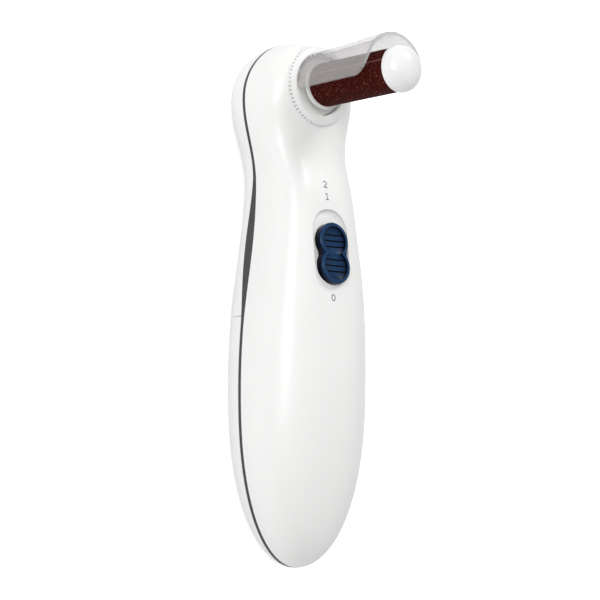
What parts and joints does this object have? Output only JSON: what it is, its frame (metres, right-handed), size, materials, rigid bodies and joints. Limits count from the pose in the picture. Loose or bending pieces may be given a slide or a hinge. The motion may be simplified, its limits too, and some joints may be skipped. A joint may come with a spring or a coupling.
{
  "type": "electric callus remover",
  "caption": "Battery-powered hand-held foot file with a motor-driven abrasive roller, clear turning guard, slide switch and sliding battery cover.",
  "frame": {"origin": "middle of the footprint, on the surface that the appliance lies on, on its back", "axes": "+Y along the handle towards the head, +Z out of the front face along the roller, +X across"},
  "size_m": [0.0492, 0.1854, 0.0801],
  "materials": {
    "white_abs": "polished injection-moulded ABS",
    "trim_grey": "satin dark grey ABS",
    "clear_pc": "clear polycarbonate",
    "navy_abs": "semi-gloss dark blue ABS",
    "grit": "dark maroon mineral grit on resin",
    "frame_pom": "dark acetal",
    "gear_pom": "natural acetal",
    "bronze": "sintered bronze",
    "steel": "bright steel",
    "spring_steel": "nickel-plated spring steel",
    "magnet": "ferrite",
    "copper": "enamelled copper on laminations",
    "board": "solder-masked fibreglass",
    "black_abs": "black ABS",
    "cell": "printed cell jacket"
  },
  "bodies": {
    "handle": {"front_shell": "white_abs", "rear_shell": "white_abs", "trim_band": "trim_grey", "drive_frame": "frame_pom", "front_bearing": "bronze", "rear_bush": "bronze", "bearing_cover": "white_abs", "frame_screws": "steel", "motor_can": "steel", "motor_end_cap": "black_abs", "motor_magnets": "magnet", "motor_screws": "steel", "circuit_board": "board", "switch_base": "black_abs", "board_parts": "black_abs", "battery_tray": "frame_pom", "battery_cell_left": "cell", "battery_cell_right": "cell", "contact_springs": "spring_steel", "contact_plates": "spring_steel", "case_screws": "steel"},
    "spindle": {"spindle_shaft": "steel", "drive_hub": "gear_pom", "crown_gear": "gear_pom", "retaining_clip": "spring_steel"},
    "rotor": {"motor_shaft": "steel", "motor_pinion": "bronze", "motor_armature": "copper"},
    "roller": {"roller_core": "white_abs", "abrasive_sleeve": "grit", "end_cap": "white_abs"},
    "guard": {"guard_collar": "white_abs", "clear_guard": "clear_pc"},
    "switch": {"slide_button": "navy_abs", "switch_lever": "black_abs"},
    "battery_door": {"battery_cover": "white_abs"}
  },
  "joints": [
    {"name": "roller_spin", "type": "hinge", "parent": "handle", "child": "spindle", "pos_m": [0, 0.07545, 0], "axis": [0, 0, 1], "continuous": true},
    {"name": "motor_spin", "type": "hinge", "parent": "handle", "child": "rotor", "pos_m": [0, 0, 0.016], "axis": [0, 1, 0], "continuous": true},
    {"name": "roller_pull", "type": "slide", "parent": "spindle", "child": "roller", "axis": [0, 0, 1], "range_m": [0, 0.03]},
    {"name": "guard_turn", "type": "hinge", "parent": "handle", "child": "guard", "pos_m": [0, 0.07545, 0], "axis": [0, 0, 1], "range_deg": [-90, 90]},
    {"name": "switch_slide", "type": "slide", "parent": "handle", "child": "switch", "axis": [0, 0.9954, -0.0958], "range_m": [0, 0.005]},
    {"name": "battery_cover_slide", "type": "slide", "parent": "handle", "child": "battery_door", "axis": [0, -1, 0], "range_m": [0, 0.09]}
  ],
  "couplings": [
    {"joint": "motor_spin", "follows": "roller_spin", "ratio": 4}
  ]
}
